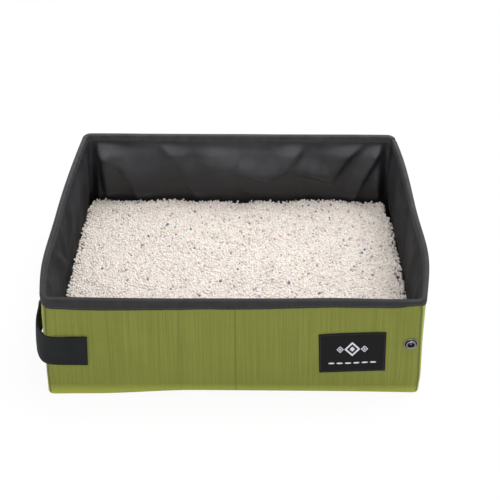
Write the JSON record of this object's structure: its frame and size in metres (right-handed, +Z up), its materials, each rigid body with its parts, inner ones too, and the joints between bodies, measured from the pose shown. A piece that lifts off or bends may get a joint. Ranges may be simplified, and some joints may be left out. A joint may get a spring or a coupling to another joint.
{
  "type": "foldable litter box",
  "caption": "Open rectangular fabric tray with stiffened walls that fold flat, a bound rim, a webbing closing strap with a press stud, and a bed of litter inside.",
  "frame": {"origin": "centre of the base panel's underside, midway between the front and back walls and between the end walls' corners", "axes": "+X across the front to the right as seen from the front, +Y from the front wall to the back wall, +Z up"},
  "size_m": [0.4322, 0.3356, 0.135],
  "materials": {
    "oxford_cloth": "woven, matt, olive green",
    "coated_lining": "coated, soft sheen, black",
    "binding_tape": "ribbed, matt, charcoal",
    "stiffener_board": "plain, hidden inside the walls",
    "strap_webbing": "woven webbing, black",
    "snap_metal": "gunmetal plating",
    "label_cloth": "satin, black",
    "litter_grains": "off-white grains with coloured specks"
  },
  "bodies": {
    "front_wall": {"front_shell": "oxford_cloth", "front_board_left": "stiffener_board", "front_board_right": "stiffener_board", "front_lining": "coated_lining", "front_binding": "binding_tape", "base_shell": "oxford_cloth", "floor_lining": "coated_lining", "litter_fill": "litter_grains", "label_patch": "label_cloth", "snap_socket": "snap_metal", "snap_cap": "snap_metal", "strap_front_end": "strap_webbing"},
    "left_front_flap": {"left_front_shell": "oxford_cloth", "left_front_board": "stiffener_board", "left_front_lining": "coated_lining", "left_front_binding": "binding_tape"},
    "left_rear_flap": {"left_rear_shell": "oxford_cloth", "left_rear_board": "stiffener_board", "left_rear_lining": "coated_lining", "left_rear_binding": "binding_tape"},
    "right_front_flap": {"right_front_shell": "oxford_cloth", "right_front_board": "stiffener_board", "right_front_lining": "coated_lining", "right_front_binding": "binding_tape"},
    "right_rear_flap": {"right_rear_shell": "oxford_cloth", "right_rear_board": "stiffener_board", "right_rear_lining": "coated_lining", "right_rear_binding": "binding_tape"},
    "back_wall": {"back_shell": "oxford_cloth", "back_board_left": "stiffener_board", "back_board_right": "stiffener_board", "back_lining": "coated_lining", "back_binding": "binding_tape", "strap_rear_end": "strap_webbing"},
    "strap_front": {"strap_front_half": "strap_webbing", "strap_stud": "snap_metal", "strap_stud_cap": "snap_metal"},
    "strap_rear": {"strap_rear_half": "strap_webbing"}
  },
  "joints": [
    {"name": "fold_box", "type": "hinge", "parent": "front_wall", "child": "left_front_flap", "pos_m": [-0.1925, -0.1575, 0], "axis": [0, 0, -1], "range_deg": [0, 91.5], "deforming": ["base_shell", "floor_lining", "litter_fill"]},
    {"name": "fold_left_crease", "type": "hinge", "parent": "left_front_flap", "child": "left_rear_flap", "pos_m": [-0.20931, 0, 0], "axis": [0, 0, 1], "range_deg": [0, 183]},
    {"name": "fold_back_left_corner", "type": "hinge", "parent": "left_rear_flap", "child": "back_wall", "pos_m": [-0.1925, 0.1575, 0], "axis": [0, 0, -1], "range_deg": [0, 91.5]},
    {"name": "fold_front_right_corner", "type": "hinge", "parent": "front_wall", "child": "right_front_flap", "pos_m": [0.1925, -0.1575, 0], "axis": [0, 0, 1], "range_deg": [0, 91.5]},
    {"name": "fold_right_crease", "type": "hinge", "parent": "right_front_flap", "child": "right_rear_flap", "pos_m": [0.20931, 0, 0], "axis": [0, 0, -1], "range_deg": [0, 183]},
    {"name": "bend_strap_front", "type": "hinge", "parent": "front_wall", "child": "strap_front", "pos_m": [-0.2117, -0.1575, 0], "axis": [0, 0, 1], "range_deg": [0, 91.5], "deforming": ["strap_front_end", "strap_rear_end"]},
    {"name": "bend_strap_middle", "type": "hinge", "parent": "strap_front", "child": "strap_rear", "pos_m": [-0.19489, 0, 0], "axis": [0, 0, -1], "range_deg": [0, 183]}
  ],
  "couplings": [
    {"joint": "fold_left_crease", "follows": "fold_box", "ratio": 2},
    {"joint": "fold_back_left_corner", "follows": "fold_box", "ratio": 1},
    {"joint": "fold_front_right_corner", "follows": "fold_box", "ratio": 1},
    {"joint": "fold_right_crease", "follows": "fold_box", "ratio": 2},
    {"joint": "bend_strap_front", "follows": "fold_box", "ratio": 1},
    {"joint": "bend_strap_middle", "follows": "fold_box", "ratio": 2}
  ]
}
